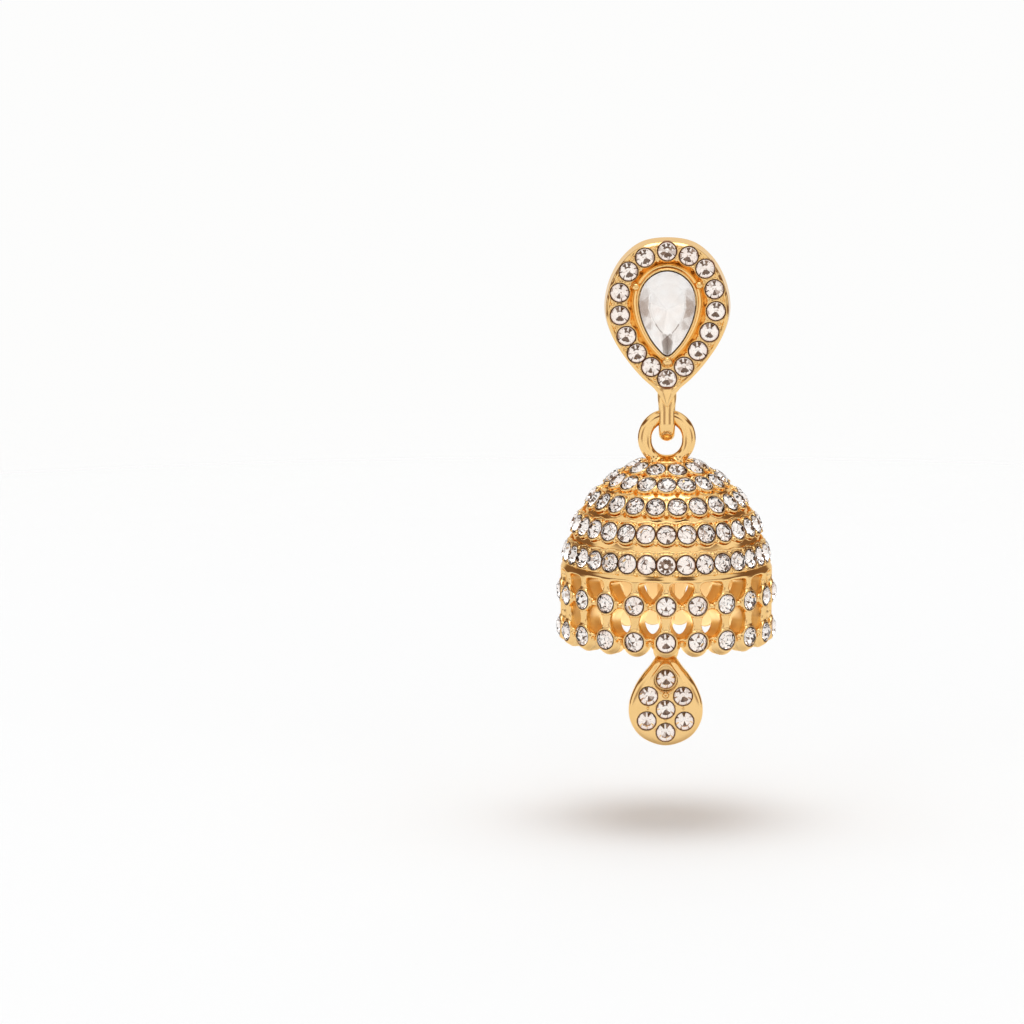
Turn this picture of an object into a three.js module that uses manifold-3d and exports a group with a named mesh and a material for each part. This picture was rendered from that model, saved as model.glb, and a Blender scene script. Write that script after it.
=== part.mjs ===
// Jhumka drop earring: a pear-shaped crystal stud, an openwork bell hanging from its loop, and a small pear drop under the bell.
// Millimetres, +Z up, +X to the wearer's left as seen from the front, -Y to the front.
// The origin is where the ear post leaves the flat back of the stud. The post runs along +Y, through the ear lobe.
import * as THREE from "three";
import { mergeVertices } from "three/addons/utils/BufferGeometryUtils.js";
import Module from "manifold-3d";

const wasm = await Module();
wasm.setup();

// ---------------------------------------------------------------- sizes

// Stud: a cast pear-shaped plate with a raised rim, a sunk band for a border of small stones, a moat and a bezel.
const STUD_DEPTH = 3.5; // back face to rim
const STUD_EDGE = 0.4; // rounding of the plate's edges
const RIM_WIDTH = 0.5; // raised rim round the band
const BAND_SINK = 0.3; // the band's floor below the rim
const MOAT_FLOOR = 1.5; // the moat's floor above the back face
const MOAT_WIDTH = 0.6;
const BEZEL_WALL = 0.25;
const BEZEL_TOP = 3.8;
const STUD_BALLS = [
  { x: -3.38, z: 2.1, r: 0.38 },
  { x: 3.38, z: 2.1, r: 0.38 },
  { x: 0, z: -6.12, r: 0.46 },
];

// Outline of the stud, right half, from the top to the tip.
const STUD_OUTLINE = [
  { z: 6.92, half: 0 },
  { z: 6.43, half: 2.84 },
  { z: 4.8, half: 4.86 },
  { z: 2.53, half: 6.16 },
  { z: 0.2, half: 6.72 },
  { z: -1.6, half: 6.66 },
  { z: -3.9, half: 5.84 },
  { z: -6.1, half: 4.43 },
  { z: -8.0, half: 2.8 },
  { z: -9.4, half: 1.17 },
  { z: -10.3, half: 0 },
];

// Centre stone: pear cut, 9 x 6 mm across the girdle.
const PEAR_OUTLINE = [
  { z: 3.62, half: 0 },
  { z: 3.25, half: 1.35 },
  { z: 2.1, half: 2.52 },
  { z: 0.45, half: 2.97 },
  { z: -1.55, half: 2.66 },
  { z: -3.35, half: 1.85 },
  { z: -4.6, half: 0.93 },
  { z: -5.38, half: 0 },
];
const PEAR_CENTRE_Z = 0.1;
const PEAR_GAP = 0.25; // stone to bezel
const PEAR_GIRDLE_LOW = 3.4; // distances in front of the stud's back face
const PEAR_GIRDLE_HIGH = 3.62;
const PEAR_TABLE = 4.6;
const PEAR_CULET = 1.75;
const PEAR_TABLE_SHARE = 0.6;

// Ear post, soldered into the back.
const POST_LENGTH = 11;
const POST_R = 0.43;
const POST_FOOT_R = 0.85;
const POST_FOOT = 0.45;
const POST_NOTCH_AT = 8.6; // groove that the clutch grips
const POST_NOTCH_R = 0.33;

// Everything under the stud hangs on one vertical axis at x 0 and this y.
const AXIS_Y = -1.35;

// Stud loop: stands across the bell's ring, in the YZ plane.
const LOOP_TOP = -9.2;
const LOOP_OUTER_Y = 2.1; // half its depth
const LOOP_INNER_Y = 0.92;
const LOOP_BOTTOM = -14.86;
const LOOP_WIRE_Z = 1.5; // thickness at the bottom
const LOOP_FRONT_WIDTH = 1.8;
const LOOP_BACK_WIDTH = 2.15;

// Bell ring: faces the front, soldered into the bell's crown.
const RING_Z = -14.55;
const RING_OUTER = 3.1;
const RING_HOLE = 1.52;
const RING_HOLE_DROP = 0.35; // the hole runs this much further down
const RING_DEPTH = 1.2;

// Bell: dome in tiers, one row of small stones each. r and z are the middle of each row.
const DOME_ROWS = [
  { r: 3.65, z: -17.43, stones: 10 },
  { r: 5.9, z: -18.72, stones: 17 },
  { r: 8.09, z: -20.78, stones: 22 },
  { r: 9.81, z: -23.5, stones: 28 },
  { r: 10.81, z: -26.6, stones: 32 },
];
const DOME_TOP = -16.55;
const DOME_FOOT = { r: 11.05, z: -27.9 };
const DOME_WALL = 1.0;
const METAL_UNDER_STONES = 0.12; // the metal lies this far under a row's stone girdles

// Skirt: a cast openwork cylinder with scalloped foot, 21 columns of stones in two rows.
const SKIRT_COLUMNS = 21;
const SKIRT_OUTER = 11.35;
const SKIRT_INNER = 9.35;
const SKIRT_TOP = -28.2;
const SKIRT_RAIL_FOOT = -35.55;
const SKIRT_ROWS = { upper: -30.93, lower: -34.82 };
const SCALLOP_R = 1.86;
const UPPER_OPENING = [
  { x: -1.03, z: -28.55 },
  { x: -1.17, z: -29.2 },
  { x: -0.4, z: -30.6 },
  { x: 0.4, z: -30.6 },
  { x: 1.17, z: -29.2 },
  { x: 1.03, z: -28.55 },
];
const LOWER_OPENING = [
  { x: -0.45, z: -31.5 },
  { x: -1.13, z: -32.9 },
  { x: -0.45, z: -34.3 },
  { x: 0.45, z: -34.3 },
  { x: 1.13, z: -32.9 },
  { x: 0.45, z: -31.5 },
];

// Stem inside the bell, with a loop at its foot that carries the drop.
const STEM_R = 0.95;
const STEM_TOP = -17.3;
const STEM_FOOT = -35.3;
const HOOK_BOTTOM = -37.94;
const HOOK_OUTER_Y = 1.5;
const HOOK_INNER_Y = 0.74;
const HOOK_TOP = -34.3;
const HOOK_WIRE_Z = 0.8;
const HOOK_WIDTH = 0.85;

// Drop: a small pear-shaped plate with an eye at its top.
const DROP_DEPTH = 2.6;
const DROP_EDGE = 0.55;
const EYE_Z = -37.54;
const EYE_OUTER = 1.375;
const EYE_HOLE = 0.7;
const EYE_DEPTH = 0.88;
const DROP_OUTLINE = [
  { z: -38.2, half: 0 },
  { z: -38.35, half: 0.95 },
  { z: -39.4, half: 1.82 },
  { z: -41.3, half: 3.2 },
  { z: -43.6, half: 3.98 },
  { z: -45.5, half: 3.74 },
  { z: -47.1, half: 2.55 },
  { z: -47.98, half: 0 },
];

// ---------------------------------------------------------------- helpers

const solid = (geometry) => {
  const g = geometry.index ? geometry.toNonIndexed() : geometry.clone();
  for (const name of Object.keys(g.attributes))
    if (name !== "position") g.deleteAttribute(name);
  const m = mergeVertices(g, 1e-4);
  return new wasm.Manifold(
    new wasm.Mesh({
      numProp: 3,
      vertProperties: m.attributes.position.array,
      triVerts: new Uint32Array(m.index.array),
    }),
  );
};

const geometry = (manifold) => {
  const m = manifold.getMesh();
  const v = new Float32Array(m.numVert * 3);
  for (let i = 0; i < m.numVert; i++)
    v.set(m.vertProperties.subarray(i * m.numProp, i * m.numProp + 3), i * 3);
  const g = new THREE.BufferGeometry();
  g.setAttribute("position", new THREE.BufferAttribute(v, 3));
  g.setIndex(new THREE.BufferAttribute(new Uint32Array(m.triVerts), 1));
  g.computeVertexNormals();
  return g;
};

// A closed outline through the rows of a half outline and its mirror image, as n points, starting at the first row.
const outline = (rows, n) => {
  const right = rows.map((p) => new THREE.Vector3(p.half, 0, p.z));
  const left = rows
    .slice(1, -1)
    .reverse()
    .map((p) => new THREE.Vector3(-p.half, 0, p.z));
  const curve = new THREE.CatmullRomCurve3([...right, ...left], true, "centripetal");
  return curve.getSpacedPoints(n).slice(0, n).map((p) => new THREE.Vector2(p.x, p.z));
};

// The outline moved outwards by d along its own normals.
const offset = (points, d) =>
  points.map((p, i) => {
    const a = points[(i + points.length - 1) % points.length];
    const b = points[(i + 1) % points.length];
    const t = new THREE.Vector2(b.x - a.x, b.y - a.y).normalize();
    // the outlines run clockwise as seen from the front: down the right side first
    return new THREE.Vector2(p.x - t.y * d, p.y + t.x * d);
  });

const scaled = (points, share, cz) =>
  points.map((p) => new THREE.Vector2(p.x * share, cz + (p.y - cz) * share));

// A closed body through rings of equal length, with flat caps. Each ring is a list of Vector3.
const loft = (rings) => {
  const n = rings[0].length;
  const position = [];
  const put = (...ps) => ps.forEach((p) => position.push(p.x, p.y, p.z));
  for (let k = 0; k + 1 < rings.length; k++)
    for (let i = 0; i < n; i++) {
      const j = (i + 1) % n;
      put(rings[k][i], rings[k][j], rings[k + 1][j]);
      put(rings[k][i], rings[k + 1][j], rings[k + 1][i]);
    }
  const centre = (ring) =>
    ring.reduce((s, p) => s.add(p), new THREE.Vector3()).multiplyScalar(1 / n);
  const first = centre(rings[0]);
  const last = centre(rings[rings.length - 1]);
  for (let i = 0; i < n; i++) {
    const j = (i + 1) % n;
    put(first, rings[0][j], rings[0][i]);
    put(last, rings[rings.length - 1][i], rings[rings.length - 1][j]);
  }
  const g = new THREE.BufferGeometry();
  g.setAttribute("position", new THREE.Float32BufferAttribute(position, 3));
  const made = solid(g);
  if (made.volume() > 0) return made;
  for (let i = 0; i < position.length; i += 9)
    for (let k = 0; k < 3; k++)
      [position[i + 3 + k], position[i + 6 + k]] = [position[i + 6 + k], position[i + 3 + k]];
  const h = new THREE.BufferGeometry();
  h.setAttribute("position", new THREE.Float32BufferAttribute(position, 3));
  return solid(h);
};

// An outline in the XZ plane, put at a distance in front of the back face.
const at = (points, front) => points.map((p) => new THREE.Vector3(p.x, -front, p.y));

// A closed ring of wire, standing in the YZ plane (or, with facing, in the XZ plane).
// Its inside and outside are stadiums: half circles joined by straight strands of the given length.
const stadium = ({ outer, inner, wire, straight, z, y, width, facing, sides = 10, steps = 20 }) => {
  const middle = (outer + inner) / 2;
  const torus = new THREE.TorusGeometry(middle, 1, sides, steps);
  const p = torus.attributes.position;
  for (let i = 0; i < p.count; i++) {
    const [a, b, c] = [p.getX(i), p.getY(i), p.getZ(i)];
    const far = Math.hypot(a, b);
    const angle = Math.atan2(b, a);
    // the wire grows from the strand's thickness to the given one at the bottom
    const low = Math.max(0, -Math.sin(angle));
    const thick = ((outer - inner) / 2) * (1 - low) + (wire / 2) * low;
    const centre = outer - thick;
    const radial = centre + (far - middle) * thick;
    const along = radial * Math.cos(angle);
    const up = radial * Math.sin(angle) + (Math.sin(angle) > 1e-6 ? straight : 0);
    const across = (c * width(along)) / 2;
    if (facing) p.setXYZ(i, along, y + across, z + up);
    else p.setXYZ(i, across, y + along, z + up);
  }
  const made = solid(torus);
  if (made.volume() > 0) return made;
  const mirrored = torus.toNonIndexed();
  const q = mirrored.attributes.position;
  for (let i = 0; i < q.count; i += 3) {
    const swap = [q.getX(i + 1), q.getY(i + 1), q.getZ(i + 1)];
    q.setXYZ(i + 1, q.getX(i + 2), q.getY(i + 2), q.getZ(i + 2));
    q.setXYZ(i + 2, ...swap);
  }
  return solid(mirrored);
};

// A turned body about the bell's axis, from [r, z] pairs listed once round its section.
const turned = (profile, segments) => {
  const points = profile.map(([r, z]) => new THREE.Vector2(Math.max(r, 0), z));
  const g = new THREE.LatheGeometry([...points, points[0]], segments, Math.PI);
  g.rotateX(Math.PI / 2); // lathe axis Y to Z
  g.translate(0, AXIS_Y, 0);
  let made = solid(g);
  if (made.volume() < 0) {
    const back = new THREE.LatheGeometry([points[0], ...points.slice().reverse()], segments, Math.PI);
    back.rotateX(Math.PI / 2);
    back.translate(0, AXIS_Y, 0);
    made = solid(back);
  }
  return made;
};

const ball = (x, y, z, r, detail = 8) => {
  const g = new THREE.SphereGeometry(r, detail, Math.max(4, detail / 2));
  g.translate(x, y, z);
  return solid(g);
};

// ---------------------------------------------------------------- stud

const studEdge = outline(STUD_OUTLINE, 64);
const pearEdge = outline(PEAR_OUTLINE, 36);
const bezelInner = offset(pearEdge, PEAR_GAP);
const bezelOuter = offset(pearEdge, PEAR_GAP + BEZEL_WALL);
const moatOuter = offset(pearEdge, PEAR_GAP + BEZEL_WALL + MOAT_WIDTH);

let stud = loft([
  at(offset(studEdge, -STUD_EDGE), 0),
  at(studEdge, STUD_EDGE),
  at(studEdge, STUD_DEPTH - STUD_EDGE),
  at(offset(studEdge, -STUD_EDGE * 0.7), STUD_DEPTH),
]);
// the sunk band, the moat round the bezel, and the pocket of the centre stone
stud = stud.subtract(
  loft([
    at(offset(studEdge, -RIM_WIDTH - 0.1), STUD_DEPTH - BAND_SINK),
    at(offset(studEdge, -RIM_WIDTH), STUD_DEPTH + 1),
  ]),
);
stud = stud.subtract(loft([at(moatOuter, MOAT_FLOOR), at(offset(moatOuter, 0.15), STUD_DEPTH + 1)]));
stud = stud.add(loft([at(offset(bezelOuter, 0.2), MOAT_FLOOR - 0.2), at(bezelOuter, BEZEL_TOP)]));
stud = stud.subtract(
  loft([
    at(scaled(bezelInner, 0.36, PEAR_CENTRE_Z), PEAR_CULET - 0.3),
    at(bezelInner, PEAR_GIRDLE_LOW - 0.2),
    at(bezelInner, BEZEL_TOP + 1),
  ]),
);
for (const b of STUD_BALLS) {
  stud = stud.add(ball(b.x, -STUD_DEPTH + 0.1, b.z, b.r));
  const stalk = new THREE.CylinderGeometry(b.r * 0.8, b.r * 0.8, STUD_DEPTH - MOAT_FLOOR + 0.1, 8);
  stalk.translate(b.x, -(STUD_DEPTH + MOAT_FLOOR - 0.3) / 2, b.z);
  stud = stud.add(solid(stalk));
}
// the loop
stud = stud.add(
  stadium({
    outer: LOOP_OUTER_Y,
    inner: LOOP_INNER_Y,
    wire: LOOP_WIRE_Z,
    straight: LOOP_TOP - LOOP_BOTTOM - 2 * LOOP_OUTER_Y,
    z: LOOP_BOTTOM + LOOP_OUTER_Y,
    y: AXIS_Y,
    width: (along) =>
      LOOP_FRONT_WIDTH +
      (LOOP_BACK_WIDTH - LOOP_FRONT_WIDTH) * THREE.MathUtils.clamp(along / LOOP_OUTER_Y, 0, 1),
    sides: 10,
    steps: 24,
  }),
);
// the post, with its foot of solder and the clutch's groove
const postProfile = [
  [0, -0.6],
  [POST_FOOT_R, -0.6],
  [POST_FOOT_R, 0.02],
  [POST_R + 0.1, POST_FOOT * 0.5],
  [POST_R, POST_FOOT],
  [POST_R, POST_NOTCH_AT - 0.35],
  [POST_NOTCH_R, POST_NOTCH_AT],
  [POST_R, POST_NOTCH_AT + 0.35],
  [POST_R, POST_LENGTH - 0.4],
  [POST_R * 0.62, POST_LENGTH - 0.1],
  [0, POST_LENGTH],
].map(([r, y]) => new THREE.Vector2(r, y));
stud = stud.add(solid(new THREE.LatheGeometry(postProfile, 12)));

// ---------------------------------------------------------------- centre stone

const centreStone = loft([
  at(scaled(pearEdge, 0.1, PEAR_CENTRE_Z), PEAR_CULET),
  at(scaled(pearEdge, 0.94, PEAR_CENTRE_Z), PEAR_GIRDLE_LOW),
  at(pearEdge, (PEAR_GIRDLE_LOW + PEAR_GIRDLE_HIGH) / 2 - 0.02),
  at(pearEdge, PEAR_GIRDLE_HIGH),
  at(scaled(pearEdge, PEAR_TABLE_SHARE, PEAR_CENTRE_Z), PEAR_TABLE),
]);

// ---------------------------------------------------------------- bell

// outer line of the dome: through the rows, a little under the stones
const rowLine = new THREE.CatmullRomCurve3(
  [
    new THREE.Vector3(0, 0, DOME_TOP),
    new THREE.Vector3(1.9, 0, DOME_TOP - 0.15),
    ...DOME_ROWS.map((p) => new THREE.Vector3(p.r, 0, p.z)),
    new THREE.Vector3(DOME_FOOT.r, 0, DOME_FOOT.z),
  ],
  false,
  "centripetal",
);
const DOME_STEPS = 12;
const domeLine = (inwards) =>
  Array.from({ length: DOME_STEPS + 1 }, (_, i) => {
    const p = rowLine.getPointAt(i / DOME_STEPS);
    const t = rowLine.getTangentAt(i / DOME_STEPS);
    // the normal points out and up
    const n = new THREE.Vector3(-t.z, 0, t.x).normalize();
    return [i === 0 ? 0 : p.x - n.x * inwards, p.z - n.z * inwards];
  });
const SEGMENTS = SKIRT_COLUMNS * 2;
const outerLine = domeLine(METAL_UNDER_STONES);
const innerLine = domeLine(METAL_UNDER_STONES + DOME_WALL);
let bell = turned(
  [
    ...outerLine,
    [SKIRT_OUTER, SKIRT_TOP],
    [SKIRT_OUTER, SKIRT_RAIL_FOOT],
    [SKIRT_INNER, SKIRT_RAIL_FOOT],
    [SKIRT_INNER, SKIRT_TOP],
    ...innerLine.slice().reverse(),
  ],
  SEGMENTS,
);
// scallops: round tabs under the lower row of stones, as thick as the wall
const radial = (shape, turn, from, to) => {
  const g = new THREE.ExtrudeGeometry(shape, { depth: to - from, bevelEnabled: false, steps: 1 });
  g.rotateX(Math.PI / 2); // shape's y to z, depth to -y
  g.translate(0, -from, 0);
  g.rotateZ(turn);
  g.translate(0, AXIS_Y, 0);
  return solid(g);
};
const scallop = new THREE.Shape();
for (let i = 0; i <= 12; i++) {
  const a = Math.PI + (Math.PI * i) / 12;
  const p = [SCALLOP_R * Math.cos(a), SKIRT_ROWS.lower + SCALLOP_R * Math.sin(a)];
  if (i) scallop.lineTo(...p);
  else scallop.moveTo(...p);
}
scallop.closePath();
const openingShape = (rows) =>
  new THREE.Shape(rows.map((p) => new THREE.Vector2(p.x, p.z)));
const upperOpening = openingShape(UPPER_OPENING);
const lowerOpening = openingShape(LOWER_OPENING);
const band = turned(
  [
    [SKIRT_OUTER, SKIRT_TOP + 1],
    [SKIRT_OUTER, SKIRT_RAIL_FOOT - 4],
    [SKIRT_INNER, SKIRT_RAIL_FOOT - 4],
    [SKIRT_INNER, SKIRT_TOP + 1],
  ],
  SEGMENTS,
);
for (let i = 0; i < SKIRT_COLUMNS; i++) {
  const turn = (2 * Math.PI * i) / SKIRT_COLUMNS;
  bell = bell.add(radial(scallop, turn, 8, 13).intersect(band));
}
for (let i = 0; i < SKIRT_COLUMNS; i++) {
  const turn = (2 * Math.PI * (i + 0.5)) / SKIRT_COLUMNS;
  bell = bell.subtract(radial(upperOpening, turn, 8.4, 13));
  bell = bell.subtract(radial(lowerOpening, turn, 8.4, 13));
}
// the ring on the crown
const ringWidth = () => RING_DEPTH;
let ring = stadium({
  outer: RING_OUTER,
  inner: RING_HOLE,
  wire: RING_OUTER - RING_HOLE,
  straight: RING_HOLE_DROP,
  z: RING_Z - RING_HOLE_DROP,
  y: AXIS_Y,
  width: ringWidth,
  facing: true,
  sides: 10,
  steps: 28,
});
bell = bell.add(ring);
// the solder mound at its foot
bell = bell.add(
  turned(
    [
      [0, DOME_TOP - 0.9],
      [2.4, DOME_TOP - 0.75],
      [2.1, DOME_TOP - 0.05],
      [0.9, DOME_TOP + 0.12],
      [0, DOME_TOP + 0.14],
    ],
    16,
  ),
);
// the stem and its hook
bell = bell.add(
  turned(
    [
      [0, STEM_TOP],
      [STEM_R * 1.7, STEM_TOP],
      [STEM_R, STEM_TOP - 1.6],
      [STEM_R, STEM_FOOT + 0.9],
      [STEM_R * 0.62, STEM_FOOT + 0.2],
      [0, STEM_FOOT],
    ],
    12,
  ),
);
bell = bell.add(
  stadium({
    outer: HOOK_OUTER_Y,
    inner: HOOK_INNER_Y,
    wire: HOOK_WIRE_Z,
    straight: HOOK_TOP - HOOK_BOTTOM - 2 * HOOK_OUTER_Y,
    z: HOOK_BOTTOM + HOOK_OUTER_Y,
    y: AXIS_Y,
    width: () => HOOK_WIDTH,
    sides: 8,
    steps: 20,
  }),
);

// ---------------------------------------------------------------- drop

const dropEdge = outline(DROP_OUTLINE, 40);
const dropBack = AXIS_Y + DROP_DEPTH / 2; // the drop's plate is centred on the axis
const dropAt = (points, front) => points.map((p) => new THREE.Vector3(p.x, dropBack - front, p.y));
let drop = loft([
  dropAt(offset(dropEdge, -DROP_EDGE), 0),
  dropAt(offset(dropEdge, -DROP_EDGE * 0.3), DROP_EDGE * 0.35),
  dropAt(dropEdge, DROP_EDGE),
  dropAt(dropEdge, DROP_DEPTH - DROP_EDGE),
  dropAt(offset(dropEdge, -DROP_EDGE * 0.3), DROP_DEPTH - DROP_EDGE * 0.35),
  dropAt(offset(dropEdge, -DROP_EDGE), DROP_DEPTH),
]);
const eye = (outer, inner) =>
  stadium({
    outer,
    inner,
    wire: outer - inner,
    straight: 0.0,
    z: EYE_Z,
    y: AXIS_Y,
    width: () => EYE_DEPTH,
    facing: true,
    sides: 8,
    steps: 20,
  });
const neck = loft([
  [
    [-1.15, -37.9],
    [1.15, -37.9],
    [1.5, -39.2],
    [-1.5, -39.2],
  ].map(([x, z]) => new THREE.Vector3(x, AXIS_Y - EYE_DEPTH / 2, z)),
  [
    [-1.15, -37.9],
    [1.15, -37.9],
    [1.5, -39.2],
    [-1.5, -39.2],
  ].map(([x, z]) => new THREE.Vector3(x, AXIS_Y + EYE_DEPTH / 2, z)),
]);
const eyeBore = new THREE.CylinderGeometry(EYE_HOLE, EYE_HOLE, 4, 20);
eyeBore.translate(0, AXIS_Y, EYE_Z);
drop = drop.add(neck).subtract(solid(eyeBore)).add(eye(EYE_OUTER, EYE_HOLE));

// ---------------------------------------------------------------- scene graph

const gold = new THREE.MeshStandardMaterial({ color: 0xe3b15f, roughness: 0.22, metalness: 1 });
const crystal = new THREE.MeshStandardMaterial({ color: 0xf2ecea, roughness: 0.05, metalness: 0 });

const mesh = (name, manifold, material) => {
  const m = new THREE.Mesh(geometry(manifold), material);
  m.name = name;
  return m;
};

const earring = new THREE.Group();
const studBody = new THREE.Group();
studBody.add(mesh("stud_setting", stud, gold), mesh("centre_stone", centreStone, crystal));
const bellBody = new THREE.Group();
bellBody.add(mesh("bell", bell, gold));
const dropBody = new THREE.Group();
dropBody.add(mesh("pear_drop", drop, gold));
earring.add(studBody, bellBody, dropBody);

export default earring;
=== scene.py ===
"""Jhumka drop earring: cast, gold-plated metal with faceted crystals.

Lengths in this script are in millimetres and are turned into metres when a mesh is made.
The metal is described by fields (negative inside) and meshed on their zero surface, so that ridges, seats and beads
run into each other as they do in a casting. The crystals are separate faceted solids with a mirrored back.
"""

import math

import bpy
import numpy as np
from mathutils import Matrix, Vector


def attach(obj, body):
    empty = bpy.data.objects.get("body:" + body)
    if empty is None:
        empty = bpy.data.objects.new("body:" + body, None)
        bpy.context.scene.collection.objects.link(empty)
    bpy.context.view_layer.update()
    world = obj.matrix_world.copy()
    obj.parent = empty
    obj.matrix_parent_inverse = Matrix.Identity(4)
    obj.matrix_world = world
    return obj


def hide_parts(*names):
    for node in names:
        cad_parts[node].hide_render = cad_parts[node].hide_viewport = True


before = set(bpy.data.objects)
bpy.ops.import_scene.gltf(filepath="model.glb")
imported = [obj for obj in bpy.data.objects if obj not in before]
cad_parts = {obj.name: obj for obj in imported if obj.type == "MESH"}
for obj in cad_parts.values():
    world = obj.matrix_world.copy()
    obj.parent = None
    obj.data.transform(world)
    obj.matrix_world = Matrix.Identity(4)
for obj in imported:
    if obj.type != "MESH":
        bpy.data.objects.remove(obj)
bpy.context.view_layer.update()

MM = 0.001
RNG = np.random.default_rng(11)

# ------------------------------------------------------------------ sizes, as in the solids

AXIS_Y = -1.35

STUD_OUTLINE = [  # z, half width, from the top to the tip
    (6.92, 0.0), (6.43, 2.84), (4.8, 4.86), (2.53, 6.16), (0.2, 6.72), (-1.6, 6.66),
    (-3.9, 5.84), (-6.1, 4.43), (-8.0, 2.8), (-9.4, 1.17), (-10.3, 0.0),
]
PEAR_OUTLINE = [
    (3.62, 0.0), (3.25, 1.35), (2.1, 2.52), (0.45, 2.97), (-1.55, 2.66), (-3.35, 1.85), (-4.6, 0.93), (-5.38, 0.0),
]
STUD_STONES = [  # x, z of the border's stones, clockwise from the top
    (-0.05, 5.72), (2.25, 5.22), (4.02, 3.88), (5.0, 1.68), (5.16, -0.66), (4.48, -2.92), (3.28, -4.92), (1.8, -6.62),
    (0.0, -7.93),
    (-1.7, -6.66), (-3.22, -5.2), (-4.34, -3.34), (-5.05, -1.14), (-5.08, 1.28), (-4.14, 3.55), (-2.4, 5.04),
]
STUD_BALLS = [(-3.32, 1.92, 0.42), (3.36, 2.12, 0.42), (0.03, -6.03, 0.52)]  # x, z, radius
BAND_W = 3.22  # the band's surface in front of the back face

LOOP_TOP, LOOP_LOW, LOOP_OUT, LOOP_IN = -10.6, -12.76, 2.1, 0.92

RING_Z, RING_OUT, RING_IN, RING_DROP = -14.55, 3.1, 1.62, 0.25

DOME_ROWS = [  # r, z, number of stones, 0.5 where two stones straddle the front
    (3.65, -17.43, 10, 0.5),
    (5.9, -18.72, 17, 0.0),
    (8.09, -20.78, 22, 0.5),
    (9.81, -23.5, 28, 0.0),
    (10.81, -26.6, 32, 0.0),
]
DOME_LINE = [(0.0, -16.55), (1.9, -16.7)] + [(r, z) for r, z, _, _ in DOME_ROWS] + [(11.05, -27.9), (11.1, -28.4)]

COLUMNS = 21
SKIRT_R, SKIRT_IN = 11.35, 9.35
ROW_A, ROW_B = -30.93, -34.82

DROP_OUTLINE = [
    (-38.2, 0.0), (-38.35, 0.95), (-39.4, 1.82), (-41.3, 3.2), (-43.6, 3.98), (-45.5, 3.74), (-47.1, 2.55), (-47.98, 0.0),
]
DROP_STONES = [  # x, z
    (0.0, -40.67), (-1.86, -42.44), (1.86, -42.44), (0.0, -43.9), (-2.03, -45.17), (2.03, -45.17), (0.0, -46.42),
]
EYE_Z, EYE_OUT, EYE_IN = -37.54, 1.375, 0.7

STONE_R = 0.96  # round stones of 2 mm, within their seats

# ------------------------------------------------------------------ fields


def smin(a, b, k):
    h = np.clip(0.5 + 0.5 * (b - a) / k, 0, 1)
    return b + (a - b) * h - k * h * (1 - h)


def smax(a, b, k):
    return -smin(-a, -b, k)


def step(lo, hi, x):
    t = np.clip((x - lo) / (hi - lo), 0, 1)
    return t * t * (3 - 2 * t)


def bump(x, middle, width):
    return np.exp(-(((x - middle) / width) ** 2))


def through(points, per=12, closed=True):
    """A centripetal Catmull-Rom curve through the points."""
    p = np.array(points, float)
    m = len(p)
    out = []
    for i in range(m if closed else m - 1):
        if closed:
            q = [p[(i + k - 1) % m] for k in range(4)]
        else:
            q = [
                p[i - 1] if i else 2 * p[0] - p[1],
                p[i],
                p[i + 1],
                p[i + 2] if i + 2 < m else 2 * p[-1] - p[-2],
            ]
        t = np.cumsum([0.0] + [max(np.linalg.norm(q[k + 1] - q[k]), 1e-9) ** 0.5 for k in range(3)])
        u = np.linspace(t[1], t[2], per, endpoint=False)[:, None]

        def mix(a, b, ta, tb):
            return (tb - u) / (tb - ta) * a + (u - ta) / (tb - ta) * b

        a1, a2, a3 = mix(q[0], q[1], t[0], t[1]), mix(q[1], q[2], t[1], t[2]), mix(q[2], q[3], t[2], t[3])
        b1, b2 = mix(a1, a2, t[0], t[2]), mix(a2, a3, t[1], t[3])
        out.append(mix(b1, b2, t[1], t[2]))
    if not closed:
        out.append(p[-1:])
    return np.concatenate(out)


def even(points, n, closed=True):
    """n points at equal steps along the polyline."""
    p = np.vstack([points, points[:1]]) if closed else points
    s = np.concatenate([[0], np.cumsum(np.linalg.norm(np.diff(p, axis=0), axis=1))])
    t = np.linspace(0, s[-1], n, endpoint=not closed)
    return np.stack([np.interp(t, s, p[:, k]) for k in range(p.shape[1])], 1)


def mirrored(rows):
    """The closed outline (x, z) of a half outline and its mirror image, clockwise as seen from the front."""
    right = [(h, z) for z, h in rows]
    left = [(-h, z) for z, h in rows[1:-1]][::-1]
    return right + left


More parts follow.
